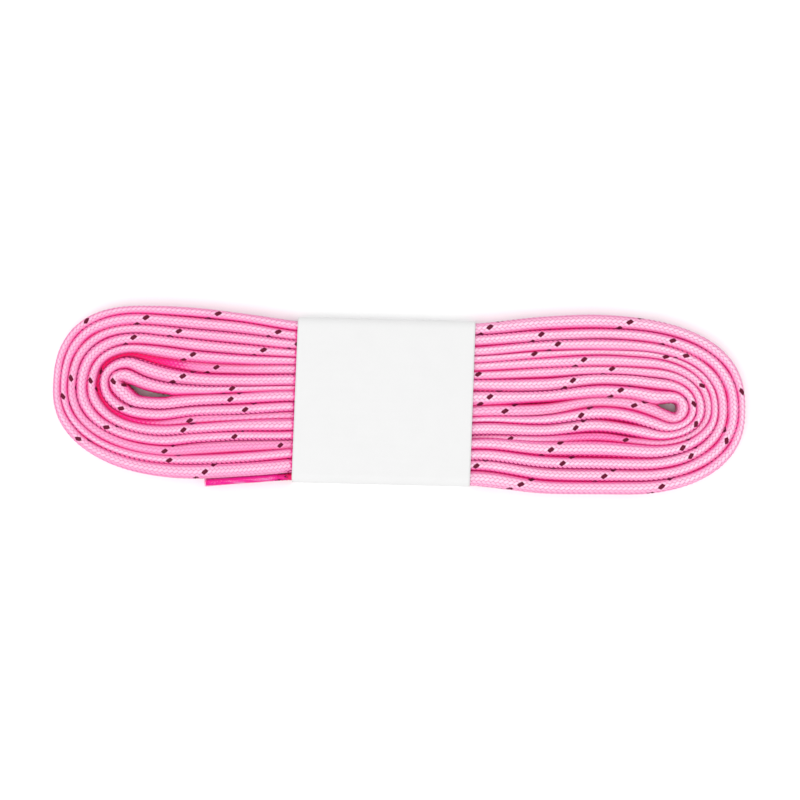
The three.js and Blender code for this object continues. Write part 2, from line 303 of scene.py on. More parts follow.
def end_loop(side, loop):
    """A loop from the upper strand round an end to the lower strand, as two superellipse quarters."""
    end = ENDS[side]
    share = (loop - 1) / (LOOPS - 1)
    upper_x, lower_x = (a + (b - a) * share for a, b in (end["upper_turn"], end["lower_turn"]))
    slot = SLOTS + 1 - loop if side == "left" else LOOPS + 1 - loop
    outer, inner = end["tips"][LOOPS - loop], end["tips"][LOOPS + 1 - loop]
    first, last = strand_at("upper", loop, upper_x)[0], strand_at("lower", slot, lower_x)[0]
    sunk = SUNK_TIP.get((side, loop), (first[SUNK] + last[SUNK]) / 2)
    tip = np.array([(outer + inner) / 2, linear(end["tip_y"], share), abs(outer - inner), sunk, 0])
    turn = np.linspace(0, math.pi / 2, QUARTER_STEPS + 1)
    extra = WIDER_LOWER.get((side, loop), 0)
    halves = ((first, turn, UPPER_POWERS, 0), (last, turn[::-1], LOWER_POWERS, extra))
    quarters = []
    for from_row, angle, powers, wider in halves:
        power = 2 / (powers[0] + (powers[1] - powers[0]) * share)
        out, up = np.sin(angle) ** power, np.cos(angle) ** power
        share_of_tip = (angle / (math.pi / 2))[:, None]
        rows = from_row + (tip - from_row) * share_of_tip
        bulge = wider * np.sin(2 * angle) ** 2
        rows[:, X] = from_row[X] + (tip[X] - from_row[X]) * out
        rows[:, X] += np.sign(-tip[X]) * bulge * BULGE_MOVES
        rows[:, Y] = tip[Y] + (from_row[Y] - tip[Y]) * up + bulge * BULGE_MOVES
        rows[:, WIDE] += bulge
        rows[:, STRAND] = 0
        quarters.append(rows)
    return np.vstack([quarters[0], quarters[1][1:]]), upper_x, lower_x


def evenly(rows, step):
    """The same line with its points a step apart."""
    run = np.concatenate([[0], np.cumsum(np.hypot(*np.diff(rows[:, :2], axis=0).T))])
    at = np.linspace(0, run[-1], int(round(run[-1] / step)) + 1)
    out = np.column_stack([np.interp(at, run, rows[:, c]) for c in range(rows.shape[1])])
    nearest = np.clip(np.searchsorted(run, at), 0, len(run) - 1)
    out[:, STRAND] = rows[nearest, STRAND]
    return out


def eased(values, passes):
    values = values.copy()
    for _ in range(passes):
        values[1:-1] = 0.5 * values[1:-1] + 0.25 * (values[:-2] + values[2:])
    return values


def lace_line(slot, first_loop, start_x, end_x):
    """A lace from its outer end, round every second loop, to its inner end."""
    parts, x = [], start_x
    for loop in range(first_loop, 0, -2):
        right, right_upper, right_lower = end_loop("right", loop)
        left, left_upper, left_lower = end_loop("left", loop)
        parts += [strand("lower", slot, x, right_lower), right[::-1][:-1]]
        parts += [strand("upper", loop, right_upper, left_upper), left[:-1]]
        slot, x = SLOTS + 1 - loop, left_lower
    parts += [strand("lower", slot, x, end_x), strand_at("lower", slot, end_x)]
    line = evenly(np.vstack(parts), RING_STEP)
    line[:, :STRAND] = eased(line[:, :STRAND], EASING_PASSES)
    return line


def sideways(line):
    """Unit vectors along a line and to its left, which is towards the middle of the hank."""
    along = np.gradient(line[:, :2], axis=0)
    along /= np.linalg.norm(along, axis=1)[:, None]
    return along, np.column_stack([-along[:, 1], along[:, 0]])


def run_of(line):
    return np.concatenate([[0], np.cumsum(np.hypot(*np.diff(line[:, :2], axis=0).T))])


HALF_WIDTHS = (0.5, 3.2)  # the least and the most that a side of a lace may reach
OPEN_BEYOND = 9  # a side with no other strand nearer than this is an outside of the hank
GAP_FROM = 1.0  # a gap this much wider than the strands beside it stays open, as an eye does
PRESSED = 0.42  # how far the braids of two strands press into each other in a groove with little painted shade
PRESSED_LESS = 0.3  # and how much less in one with deep painted shade
# Where the groove between two strands opens up: X, Y, half its length, and how far.
OPENED = [
    (50, -1.2, 11, 0.30),
    (76, -6.7, 9, 0.20),
    (73, -11.4, 10, 0.26),
    (65, -18.5, 12, 0.15),
    (-62, 9.0, 12, 0.12),
    (-50, -0.6, 12, 0.14),
]
REACH, OUTSIDE, GROOVE_SHADE_STRENGTH = range(3)


def groove_at(place):
    """How far the groove at a place opens, and how deep its painted shade is, from 0 to 1."""
    opened = np.zeros(len(place))
    for x, y, half_length, far in OPENED:
        nearness = ((place[:, 0] - x) / half_length) ** 4 + ((place[:, 1] - y) / 1.3) ** 2
        opened += far * np.exp(-nearness)
    colour = 0.6 + 0.4 * np.sin(place[:, 0] / 21 + place[:, 1] * 0.72)
    return opened, np.clip(colour + 5 * opened, 0, 1)


def spread(line, others):
    """For the left and right of each ring: how far it reaches to its neighbour, or half its own width
    where it has none, whether it is open to the outside, and how deep the groove's painted shade is."""
    along, left = sideways(line)
    sides = np.empty((3, 2, len(line)))
    for which, side in enumerate((1, -1)):
        near = np.full(len(line), np.inf)
        wide = np.zeros(len(line))
        for chunk in np.array_split(np.arange(len(line)), max(1, len(line) // 400)):
            gap = others[None, :, :2] - line[chunk, None, :2]
            forward = np.abs((gap * along[chunk, None]).sum(2))
            across = side * (gap * left[chunk, None]).sum(2)
            across[(forward > 0.6 * RING_STEP) | (across < 0.9)] = np.inf
            best = across.argmin(1)
            near[chunk] = across[np.arange(len(chunk)), best]
            wide[chunk] = others[best, WIDE]
        own = line[:, WIDE]
        touching = near < (own + wide) / 2 + GAP_FROM
        half = np.where(touching, near * own / np.maximum(own + wide, 0.1), own / 2)
        opened, colour = groove_at(line[:, :2] + side * left * half[:, None])
        pressed = PRESSED - PRESSED_LESS * colour
        half = half + np.where(touching, pressed / 2 - opened, 0)
        sides[REACH, which] = eased(np.clip(half, *HALF_WIDTHS), 6)
        sides[OUTSIDE, which] = eased((near > OPEN_BEYOND).astype(float), 12)
        sides[GROOVE_SHADE_STRENGTH, which] = eased(colour, 12)
    return sides


# ---- The braid --------------------------------------------------------------------------------------

MARKER_EVERY = 27  # threads
STITCH_LONG = MARKER_PERIOD / MARKER_EVERY  # along the lace
STITCH_WIDE = 1.2  # across it
ROUND = 21.6  # round the lace, an even number of stitches
RELIEF = 0.65  # from the bottom of the braid's holes to the top of its threads
THREAD_ROUND = 3.8  # how far a thread's section falls away to its sides
THREAD_DIVE = 0.8  # the less this is, the longer a thread stays high before it goes under


def weave(u, v):
    """The height of the braid at u along the lace and v round it, from 0 in its holes to 1."""
    p, q = u / STITCH_LONG - v / STITCH_WIDE, u / STITCH_LONG + v / STITCH_WIDE
    whole_p, whole_q = np.floor(p), np.floor(q)
    part_p, part_q = p - whole_p, q - whole_q
    turn = np.mod(whole_p - whole_q, 4)
    over = turn < 2
    along = np.where(over, 1 - turn + part_q, turn - 2 + part_p) / 2
    across = np.where(over, part_p, part_q) - 0.5
    dome = np.sqrt(np.maximum(0, 1 - THREAD_ROUND * across**2))
    return dome * np.sin(math.pi * along) ** THREAD_DIVE


def marker_run(line, first_mark):
    """The run along a lace, stretched a little so that the marker thread comes up at its marks."""
    run = run_of(line)
    marks = []
    for table, sign in ((MARKERS_UPPER, 1), (MARKERS_LOWER, -1)):
        for number, places in table.items():
            on = np.flatnonzero(line[:, STRAND] == sign * number)
            if not len(on):
                continue
            for x in places:
                at = on[np.abs(line[on, X] - x).argmin()]
                if abs(line[at, X] - x) < MARK_WITHIN:
                    marks.append(run[at])
    marks.sort()
    value = [first_mark]
    for a, b in zip(marks, marks[1:]):
        value.append(value[-1] + MARKER_PERIOD * max(1, round((b - a) / MARKER_PERIOD)))
    if len(marks) < 2:
        return run - (marks[0] if marks else 0) + first_mark
    before, after = run - marks[0] + value[0], run - marks[-1] + value[-1]
    out = np.interp(run, marks, value)
    out = np.where(run < marks[0], before, out)
    out = np.where(run > marks[-1], after, out)
    return eased(out, 60)


# ---- Sections ---------------------------------------------------------------------------------------

CROWN_POWER = 2.05
CROWN_STEPS = 6
OUTER_FLAT = 5
INNER_FLAT = 3


def quarter_round(steps):
    """Points of a superellipse quarter from its top, (0, 0), to its side, (1, 1), evenly spaced."""
    turn = np.linspace(0, math.pi / 2, 400)
    power = 2 / CROWN_POWER
    points = np.column_stack([np.sin(turn) ** power, 1 - np.cos(turn) ** power])
    run = np.concatenate([[0], np.cumsum(np.hypot(*np.diff(points, axis=0).T))])
    at = np.linspace(0, run[-1], steps + 1)
    return np.column_stack([np.interp(at, run, points[:, c]) for c in (0, 1)])


def section(left, right, top, bottom):
    """Rings round a lace: across and up for each point, from its bottom up its right side and over."""
    crown = 0.52 * (left + right)
    crown = np.minimum(crown, 0.42 * (top - bottom))
    top_round, low_round = quarter_round(CROWN_STEPS), quarter_round(2)
    columns = [(np.zeros_like(top), bottom)]
    columns += [(-right * a, bottom + crown * c) for a, c in low_round[1:]]
    for share in np.arange(1, OUTER_FLAT + 1) / (OUTER_FLAT + 1):
        columns.append((-right, bottom + crown + (top - bottom - 2 * crown) * share))
    columns += [(-right * a, top - crown * c) for a, c in top_round[::-1]]
    columns += [(left * a, top - crown * c) for a, c in top_round[1:]]
    for share in np.arange(1, INNER_FLAT + 1) / (INNER_FLAT + 1):
        columns.append((left, top - crown - (top - bottom - 2 * crown) * share))
    columns += [(left * a, bottom + crown * c) for a, c in low_round[::-1][:-1]]
    across = np.stack([np.broadcast_to(c[0], top.shape) for c in columns], 1)
    up = np.stack([np.broadcast_to(c[1], top.shape) for c in columns], 1)
    return across, up


TOP_COLUMN = 2 + OUTER_FLAT + CROWN_STEPS + 1  # of the point on the crown of a ring


def round_run(across, up):
    """How far round the lace each point of a ring lies from its crown, scaled to ROUND in all."""
    step_across = np.diff(across, axis=1, append=across[:, :1])
    step_rise = np.diff(up, axis=1, append=up[:, :1])
    around = np.hypot(step_across, step_rise)
    run = np.concatenate([np.zeros((len(across), 1)), np.cumsum(around, axis=1)], 1)
    run = run * (ROUND / run[:, -1:])
    return run - run[:, TOP_COLUMN : TOP_COLUMN + 1]


def averaged_weave(u, v, step_u, step_v):
    """The braid's height averaged over what one vertex stands for."""
    total = 0
    for du in (-0.33, 0, 0.33):
        for dv in (-0.33, 0, 0.33):
            total = total + weave(u + du * step_u, v + dv * step_v)
    return total / 9


# ---- Meshes -----------------------------------------------------------------------------------------


def ring_mesh(name, rings, uv=None, floats=None, caps="fan"):
    """A closed solid from rings of points. uv has one more column than the rings have points."""
    count, around = rings.shape[:2]
    i, j = np.meshgrid(np.arange(count - 1), np.arange(around), indexing="ij")
    after = (j + 1) % around
    quads = np.stack(
        [i * around + j, i * around + after, (i + 1) * around + after, (i + 1) * around + j], -1
    ).reshape(-1, 4)
    points = rings.reshape(-1, 3)
    loops = [quads.ravel()]
    sizes = [np.full(len(quads), 4)]
    uv_loops = []
    if uv is not None:
        corners = [uv[i, j], uv[i, j + 1], uv[i + 1, j + 1], uv[i + 1, j]]
        uv_loops.append(np.stack(corners, 2).reshape(-1, 2))
    for ring, order in ((0, -1), (count - 1, 1)):
        ids = ring * around + np.arange(around)
        if caps == "fan":
            faces = [ids[::order]]
        else:
            half = around // 2
            k = np.arange(half - 1)
            faces = np.stack([k, k + 1, around - 2 - k, around - 1 - k], 1)[:, ::order] + ring * around
            faces = list(faces)
        for face in faces:
            loops.append(face)
            sizes.append([len(face)])
            if uv is not None:
                uv_loops.append(uv[ring, face - ring * around])
    loops, sizes = np.concatenate(loops), np.concatenate(sizes)
    starts = np.concatenate([[0], np.cumsum(sizes)[:-1]])
    # Faces out: the volume under the faces tells which way round they go.
    a, b, c = (points[quads[:, n]] for n in (0, 1, 2))
    if np.einsum("ij,ij->i", a - points[0], np.cross(b - points[0], c - points[0])).sum() < 0:
        for start, size in zip(starts, sizes):
            loops[start : start + size] = loops[start : start + size][::-1]
        if uv is not None:
            joined = np.concatenate(uv_loops)
            for start, size in zip(starts, sizes):
                joined[start : start + size] = joined[start : start + size][::-1]
            uv_loops = [joined]
    mesh = bpy.data.meshes.new(name)
    mesh.vertices.add(len(points))
    mesh.vertices.foreach_set("co", points.astype(np.float32).ravel())
    mesh.loops.add(len(loops))
    mesh.loops.foreach_set("vertex_index", loops.astype(np.int32))
    mesh.polygons.add(len(sizes))
    mesh.polygons.foreach_set("loop_start", starts.astype(np.int32))
    mesh.polygons.foreach_set("use_smooth", np.ones(len(sizes), bool))
    if uv is not None:
        layer = mesh.uv_layers.new(name="braid")
        layer.data.foreach_set("uv", np.concatenate(uv_loops).astype(np.float32).ravel())
    for key, values in (floats or {}).items():
        attribute = mesh.attributes.new(key, "FLOAT", "POINT")
        attribute.data.foreach_set("value", values.astype(np.float32).ravel())
    mesh.update(calc_edges=True)
    mesh.validate()
    piece = bpy.data.objects.new(name, mesh)
    bpy.context.scene.collection.objects.link(piece)
    return piece


# ---- Materials --------------------------------------------------------------------------------------


def join(tree, value, socket):
    if isinstance(value, bpy.types.NodeSocket):
        tree.links.new(value, socket)
    else:
        socket.default_value = value


def calc(tree, operation, *values):
    node = tree.nodes.new("ShaderNodeMath")
    node.operation = operation
    for value, socket in zip(values, node.inputs):
        join(tree, value, socket)
    return node.outputs[0]


def step_up(tree, value, low, high):
    """0 below low, 1 above high, and smooth between."""
    node = tree.nodes.new("ShaderNodeMapRange")
    node.interpolation_type = "SMOOTHSTEP"
    join(tree, value, node.inputs["Value"])
    node.inputs["From Min"].default_value = low
    node.inputs["From Max"].default_value = high
    return node.outputs["Result"]


def blend_colours(tree, share, first, second):
    node = tree.nodes.new("ShaderNodeMix")
    node.data_type = "RGBA"
    join(tree, share, node.inputs["Factor"])
    for value, socket in ((first, node.inputs[6]), (second, node.inputs[7])):
        join(tree, value if isinstance(value, bpy.types.NodeSocket) else (*value, 1), socket)
    return node.outputs[2]


def noise(tree, place, scale, detail=2.0):
    node = tree.nodes.new("ShaderNodeTexNoise")
    node.inputs["Scale"].default_value = scale
    node.inputs["Detail"].default_value = detail
    tree.links.new(place, node.inputs["Vector"])
    return node.outputs["Fac"]


def attribute(tree, name):
    node = tree.nodes.new("ShaderNodeAttribute")
    node.attribute_name = name
    return node.outputs["Fac"]


def bump(tree, height, distance, strength):
    node = tree.nodes.new("ShaderNodeBump")
    node.inputs["Distance"].default_value = distance
    node.inputs["Strength"].default_value = strength
    tree.links.new(height, node.inputs["Height"])
    return node.outputs["Normal"]


def new_material(name, roughness):
    material = bpy.data.materials.new(name)
    material.use_nodes = True
    tree = material.node_tree
    shader = tree.nodes["Principled BSDF"]
    shader.inputs["Roughness"].default_value = roughness
    return material, tree, shader


def weave_nodes(tree):
    """The braid in nodes: its height, whether a rising thread is on top, and the thread's number."""
    uv = tree.nodes.new("ShaderNodeUVMap")
    uv.uv_map = "braid"
    parts = tree.nodes.new("ShaderNodeSeparateXYZ")
    tree.links.new(uv.outputs[0], parts.inputs[0])
    long_way = calc(tree, "DIVIDE", parts.outputs[0], STITCH_LONG)
    round_way = calc(tree, "DIVIDE", parts.outputs[1], STITCH_WIDE)
    p = calc(tree, "SUBTRACT", long_way, round_way)
    q = calc(tree, "ADD", long_way, round_way)
    whole_p, whole_q = calc(tree, "FLOOR", p), calc(tree, "FLOOR", q)
    part_p, part_q = calc(tree, "SUBTRACT", p, whole_p), calc(tree, "SUBTRACT", q, whole_q)
    turn = calc(tree, "FLOORED_MODULO", calc(tree, "SUBTRACT", whole_p, whole_q), 4.0)
    over = calc(tree, "LESS_THAN", turn, 1.5)
    under = calc(tree, "SUBTRACT", 1.0, over)

    def pick(if_over, if_under):
        rising_part = calc(tree, "MULTIPLY", over, if_over)
        falling_part = calc(tree, "MULTIPLY", under, if_under)
        return calc(tree, "ADD", rising_part, falling_part)

    rising = calc(tree, "ADD", calc(tree, "SUBTRACT", 1.0, turn), part_q)
    falling = calc(tree, "ADD", calc(tree, "SUBTRACT", turn, 2.0), part_p)
    along = calc(tree, "DIVIDE", pick(rising, falling), 2.0)
    across = calc(tree, "SUBTRACT", pick(part_p, part_q), 0.5)
    across_squared = calc(tree, "MULTIPLY", across, across)
    dome = calc(tree, "SUBTRACT", 1.0, calc(tree, "MULTIPLY", across_squared, THREAD_ROUND))
    dome = calc(tree, "SQRT", calc(tree, "MAXIMUM", dome, 0.0))
    dive = calc(tree, "SINE", calc(tree, "MULTIPLY", along, math.pi))
    dive = calc(tree, "POWER", dive, THREAD_DIVE)
    height = calc(tree, "MULTIPLY", dome, dive)
    thread = pick(whole_p, calc(tree, "ADD", whole_q, 500.5))
    # The marker thread is thicker than the rest, so each place where it comes up is a plump spot.
    from_marker = calc(tree, "WRAP", calc(tree, "SUBTRACT", p, 0.5), MARKER_EVERY / 2, -MARKER_EVERY / 2)
    its_number = calc(tree, "SUBTRACT", calc(tree, "SUBTRACT", p, 0.5), from_marker)
    from_middle = calc(tree, "WRAP", calc(tree, "SUBTRACT", q, its_number), 2.0, -2.0)
    far = calc(tree, "POWER", calc(tree, "ABSOLUTE", calc(tree, "DIVIDE", from_marker, 0.70)), 4.0)
    far_on = calc(tree, "POWER", calc(tree, "ABSOLUTE", calc(tree, "DIVIDE", from_middle, 1.05)), 4.0)
    marker = calc(tree, "SUBTRACT", 1.0, calc(tree, "ADD", far, far_on))
    # Fine filaments that lie along each thread.
    fibre = calc(tree, "SINE", calc(tree, "MULTIPLY", across, 42.0))
    return height, marker, thread, fibre, uv.outputs[0]


def braid_material(name, crown, flank_shade, groove_shade, hole_shade_colour, marker_colour):
    material, tree, shader = new_material(name, 0.78)
    height, marker, thread, fibre, place = weave_nodes(tree)
    # Painted shade: the shaded copy of the colour on the lace's sides.
    flat = blend_colours(tree, attribute(tree, "flank_shade"), crown, flank_shade)
    seed = tree.nodes.new("ShaderNodeTexWhiteNoise")
    seed.noise_dimensions = "1D"
    tree.links.new(thread, seed.inputs["W"])
    varied = calc(tree, "MULTIPLY", seed.outputs["Value"], 0.12)
    flat = blend_colours(tree, varied, flat, flank_shade)
    # Painted shade: the braid's low parts take some of the shaded side colour.
    low = step_up(tree, calc(tree, "SUBTRACT", 1.0, height), 0.2, 0.95)
    flat = blend_colours(tree, calc(tree, "MULTIPLY", low, 0.5), flat, flank_shade)
    # Painted shade in the grooves: stitches reach over the groove by turns, which breaks the shade's
    # edge into teeth.
    teeth = calc(tree, "SUBTRACT", 1.6, calc(tree, "MULTIPLY", height, 1.2))
    groove_shade_depth = calc(tree, "MULTIPLY", attribute(tree, "groove_shade"), teeth)
    flat = blend_colours(tree, step_up(tree, groove_shade_depth, 0.2, 0.9), flat, groove_shade)
    # Painted shade: crimson where the groove shade runs deepest, on sunk strands.
    flat = blend_colours(tree, step_up(tree, attribute(tree, "groove_shade"), 1.0, 2.2), flat, CRIMSON_SHADE)
    # Painted shade in the braid's holes.
    hole_shade_share = step_up(tree, calc(tree, "SUBTRACT", 1.0, height), 0.58, 1.0)
    flat = blend_colours(tree, calc(tree, "MULTIPLY", hole_shade_share, 0.75), flat, hole_shade_colour)
    # Painted shade: dark dashes in the braid's low parts along a groove's edge.
    dash_shade_share = calc(tree, "MULTIPLY", attribute(tree, "edge_dash_shade"), calc(tree, "SUBTRACT", 1.0, height))
    dash_shade_share = calc(tree, "MULTIPLY", step_up(tree, dash_shade_share, 0.3, 0.55), 0.95)
    flat = blend_colours(tree, dash_shade_share, flat, DASH_SHADE)
    dark = step_up(tree, marker, 0.0, 0.22)
    colour = blend_colours(tree, dark, flat, marker_colour)
    tree.links.new(colour, shader.inputs["Base Color"])
    rough = calc(tree, "SUBTRACT", 0.9, calc(tree, "MULTIPLY", height, 0.25))
    tree.links.new(rough, shader.inputs["Roughness"])
    fuzz = noise(tree, place, 9.0)
    total = calc(tree, "ADD", height, calc(tree, "MULTIPLY", fibre, 0.06))
    total = calc(tree, "ADD", total, calc(tree, "MULTIPLY", fuzz, 0.12))
    tree.links.new(bump(tree, total, 0.00022, 0.8), shader.inputs["Normal"])
    shader.inputs["Specular IOR Level"].default_value = 0.15
    return material


def film_material():
    """Clear film, a little wrinkled along the aglet, with lighter streaks along its wrinkles painted in
    as highlights.
    """
    material, tree, shader = new_material("aglet_film", 0.08)
    shader.inputs["Alpha"].default_value = 0.35
    shader.inputs["IOR"].default_value = 1.4
    place = tree.nodes.new("ShaderNodeTexCoord")
    stretched = tree.nodes.new("ShaderNodeMapping")
    stretched.inputs["Scale"].default_value = (120, 900, 500)
    tree.links.new(place.outputs["Object"], stretched.inputs[0])
    wrinkles = noise(tree, stretched.outputs[0], 1.0, 3.0)
    # Painted highlight: lighter streaks where the wrinkles rise.
    wrinkle_highlight = step_up(tree, wrinkles, 0.5, 0.72)
    tint = blend_colours(tree, wrinkle_highlight, (1.0, 0.02, 0.42), (1.0, 0.45, 0.85))
    tree.links.new(tint, shader.inputs["Base Color"])
    tree.links.new(bump(tree, wrinkles, 0.00015, 0.6), shader.inputs["Normal"])
    return material


def paper_material():
    material, tree, shader = new_material("band_paper", 0.62)
    place = tree.nodes.new("ShaderNodeTexCoord").outputs["Object"]
    fibres = noise(tree, place, 1400.0, 6.0)
    clouds = noise(tree, place, 160.0, 3.0)
    tone = blend_colours(tree, clouds, (0.68, 0.68, 0.68), (0.71, 0.71, 0.71))
    tone = blend_colours(tree, calc(tree, "MULTIPLY", fibres, 0.25), tone, (0.64, 0.64, 0.64))
    tree.links.new(tone, shader.inputs["Base Color"])
    rough = calc(tree, "ADD", 0.5, calc(tree, "MULTIPLY", fibres, 0.2))
    tree.links.new(rough, shader.inputs["Roughness"])
    tree.links.new(bump(tree, fibres, 0.00003, 0.5), shader.inputs["Normal"])
    return material


def glue_material():
    material, tree, shader = new_material("dried_glue", 0.3)
    place = tree.nodes.new("ShaderNodeTexCoord").outputs["Object"]
    blots = noise(tree, place, 350.0, 4.0)
    tone = blend_colours(tree, blots, (0.70, 0.64, 0.45), (0.82, 0.78, 0.62))
    tree.links.new(tone, shader.inputs["Base Color"])
    tree.links.new(bump(tree, blots, 0.00005, 0.6), shader.inputs["Normal"])
    return material


def floor_material():
    material, _, shader = new_material("pale_floor", 0.9)
    shader.inputs["Base Color"].default_value = (0.95, 0.95, 0.95, 1)
    return material


# The lace colours: the crown pink is the laces' own colour, and so is the gathered ends' pink. The flank
# colours are shaded copies of them, painted on the sides as shade. The magenta, crimson, hole and dash
# colours are painted shade in the grooves, on sunk strands, in the braid's holes and along groove edges.
# The maroon is the marker thread's own colour.
PINK = (0.97, 0.66, 0.80)
PINK_FLANK_SHADE = (0.97, 0.15, 0.46)
GROOVE_SHADE_MAGENTA = (0.96, 0.012, 0.27)
CRIMSON_SHADE = (0.98, 0.004, 0.15)
HOLE_SHADE = (0.48, 0.16, 0.30)
DASH_SHADE = (0.30, 0.008, 0.10)
MAROON = (0.13, 0.008, 0.03)
END_PINK = (1.0, 0.02, 0.33)
END_FLANK_SHADE = (0.9, 0.004, 0.25)
lace_material = braid_material("laces", PINK, PINK_FLANK_SHADE, GROOVE_SHADE_MAGENTA, HOLE_SHADE, MAROON)
end_material = braid_material("gathered_laces", END_PINK, END_FLANK_SHADE, GROOVE_SHADE_MAGENTA, HOLE_SHADE, MAROON)
film = film_material()

# ---- The laces --------------------------------------------------------------------------------------

DROOP = 0.6  # how far the ends of the hank hang below the stretch that the band lifts
DROOP_FROM = 42
DROOP_OVER = 40
BAND_CLEARANCE = 0.17  # between the laces and the inside of the band's rounded corners
HELD_PAST_BAND = 0.5  # how far past the band's ends the laces keep that shape
RELEASED_OVER = 4  # and over how much more they lose it
TAPER = 7.0  # over which a lace gathers into its aglet


def smooth(t):
    t = np.clip(t, 0, 1)
    return t * t * (3 - 2 * t)


def levels(line, run):
    """The bottom and top of a lace's section along it."""
    thin = np.maximum(0, THIN_STRAND - line[:, WIDE]) * THIN_SINKS
    droop = DROOP * smooth((np.abs(line[:, X]) - DROOP_FROM) / DROOP_OVER)
    ripple = 0.10 * np.sin(run / 7.3 + 0.6) + 0.08 * np.sin(run / 3.1 + 1.9)
    sway = 0.22 * np.sin(run / 19.0) + 0.16 * np.sin(run / 31.0 + 2.0)
    top = LACE_TOP - 0.25 + ripple + sway - line[:, SUNK] - thin - droop
    bottom = LACE_BASE + 0.05 + 0.3 * ripple.clip(0) - droop
    return bottom, eased(top, 6)


def gather(share, wide, bottom, top, middle):
    """Shrinks a section towards the one that fits in an aglet. share is 1 where it is all lace."""
    share = smooth(share)
    half = GATHERED_HEIGHT / 2
    wide = GATHERED_THICK / 2 + (wide - GATHERED_THICK / 2) * share
    bottom = middle - half + (bottom - middle + half) * share
    top = middle + half + (top - middle - half) * share
    return wide, bottom, top


def held_in_band(rings, x):
    """Rings in X, Y and Z with what lies under the band drawn in to fit inside its rounded corners."""
    room = PAPER + BAND_CLEARANCE
    y, z = rings[..., 1], rings[..., 2]
    radius = BAND_ROUND_TOP - room
    centre_z = BAND_TOP - BAND_ROUND_TOP
    centre_y = np.clip(y, BAND_NEAR + BAND_ROUND_TOP, BAND_FAR - BAND_ROUND_TOP)
    from_y, from_z = y - centre_y, np.maximum(z - centre_z, 0)
    shrink = np.minimum(1, radius / np.maximum(np.hypot(from_y, from_z), 0.01))
    past_band = np.maximum(np.maximum(BAND_LEFT - x, x - BAND_RIGHT), 0)
    held = (1 - smooth((past_band - HELD_PAST_BAND) / RELEASED_OVER))[:, None]
    out = rings.copy()
    out[..., 1] = y + (centre_y + from_y * shrink - y) * held
    out[..., 2] = z + (np.minimum(z, centre_z) + from_z * shrink - z) * held
    return out


def braid_piece(name, line, u, sides, bottom, top, material):
    """A lace's mesh round a line, with the braid in relief."""
    _, sidewards = sideways(line)
    left, right = sides[REACH]
    across, up = section(left, right, top, bottom)
    v = round_run(across, up)
    rings = np.empty((len(line), across.shape[1], 3))
    rings[..., :2] = line[:, None, :2] + sidewards[:, None] * across[..., None]
    rings[..., 2] = up
    before, after = np.roll(across, 1, 1), np.roll(across, -1, 1)
    slope = np.stack([after - before, np.roll(up, -1, 1) - np.roll(up, 1, 1)], -1)
    normal = np.stack([slope[..., 1], -slope[..., 0]], -1)
    normal /= np.maximum(np.linalg.norm(normal, axis=-1, keepdims=True), 1e-6)
    rise = RELIEF * (averaged_weave(u[:, None], v[:, :-1], RING_STEP, 0.4) - 0.6)
    rings[..., :2] += sidewards[:, None] * (normal[..., 0] * rise)[..., None]
    rings[..., 2] += normal[..., 1] * rise
    rings[..., 2] = np.minimum(rings[..., 2], BAND_TOP - PAPER - 0.06)
    rings = held_in_band(rings, line[:, X])
    uv = np.stack([np.broadcast_to(u[:, None], v.shape), v], -1)
    side = np.where(across > 0, across / left[:, None], -across / right[:, None])
    shut = 1 - np.where(across > 0, sides[OUTSIDE, 0][:, None], sides[OUTSIDE, 1][:, None])
    colour = np.where(across > 0, sides[GROOVE_SHADE_STRENGTH, 0][:, None], sides[GROOVE_SHADE_STRENGTH, 1][:, None])
    # Painted shade: the sides take a shaded copy of the pink, more where another strand is beside them,
    # and sunk strands take it all over.
    buried = smooth(line[:, SUNK] / 1.6)[:, None]
    flank_shade = smooth((side - 0.2) / 0.65) * (0.5 + 0.5 * shut) * (0.8 + 0.2 * colour)
    flank_shade = np.maximum(flank_shade, 0.95 * buried)
    # Painted shade: a little more of the shaded pink towards the hank's left end, the right end being
    # the more lit.
    left_end_shade = 0.19 * smooth((50 - line[:, X]) / 130)[:, None]
    flank_shade = left_end_shade + (1 - left_end_shade) * flank_shade
    # Painted shade: deep colour in the grooves where another strand is beside, and more still on sunk
    # strands.
    groove_shade_mask = smooth((side - 0.6) / 0.35) * shut * (0.4 + 0.7 * colour)
    groove_shade_mask = groove_shade_mask + 2 * smooth((line[:, SUNK] - 0.9) / 0.7)[:, None]
    # Dashes of painted shade along a groove's edge are drawn on each lace's outer side only, so that two
    # rows don't run together.
    edge_dash_shade = smooth((side - 0.42) / 0.34) * shut * (1 - buried)
    edge_dash_shade = edge_dash_shade * (across < 0) * (1.15 - 0.55 * colour)
    # A line of painted shadow across the crowns where the laces go in under the band's left end.
    band_edge = BAND_LEFT + BAND_SLANT * (line[:, Y] - BAND_NEAR) / (BAND_FAR - BAND_NEAR)
    band_edge_shadow = np.exp(-(((line[:, X] - band_edge + 0.2) / 0.7) ** 2))[:, None] * shut
    band_edge_shadow = band_edge_shadow * smooth((up - top[:, None] + 3) / 1.5)
    flank_shade = np.maximum(flank_shade, 0.9 * band_edge_shadow)
    groove_shade_mask = np.maximum(groove_shade_mask, 0.8 * band_edge_shadow)
    piece = ring_mesh(name, placed(rings), uv, {"flank_shade": flank_shade, "groove_shade": groove_shade_mask, "edge_dash_shade": edge_dash_shade})
    piece.data.materials.append(material)
    return piece


lines = {
    "a": lace_line(1, 8, TAIL_PIVOT_X + 1.5, A_INNER_TIP),
    "b": lace_line(2, 7, B_OUTER_TIP, B_INNER_TIP),
}
every_ring = np.vstack(list(lines.values()))
HIDDEN_LEVEL = LACE_BASE + LACE_WIDTH / 2
TAIL_LEVEL = LACE_BASE + AGLET_HEIGHT / 2

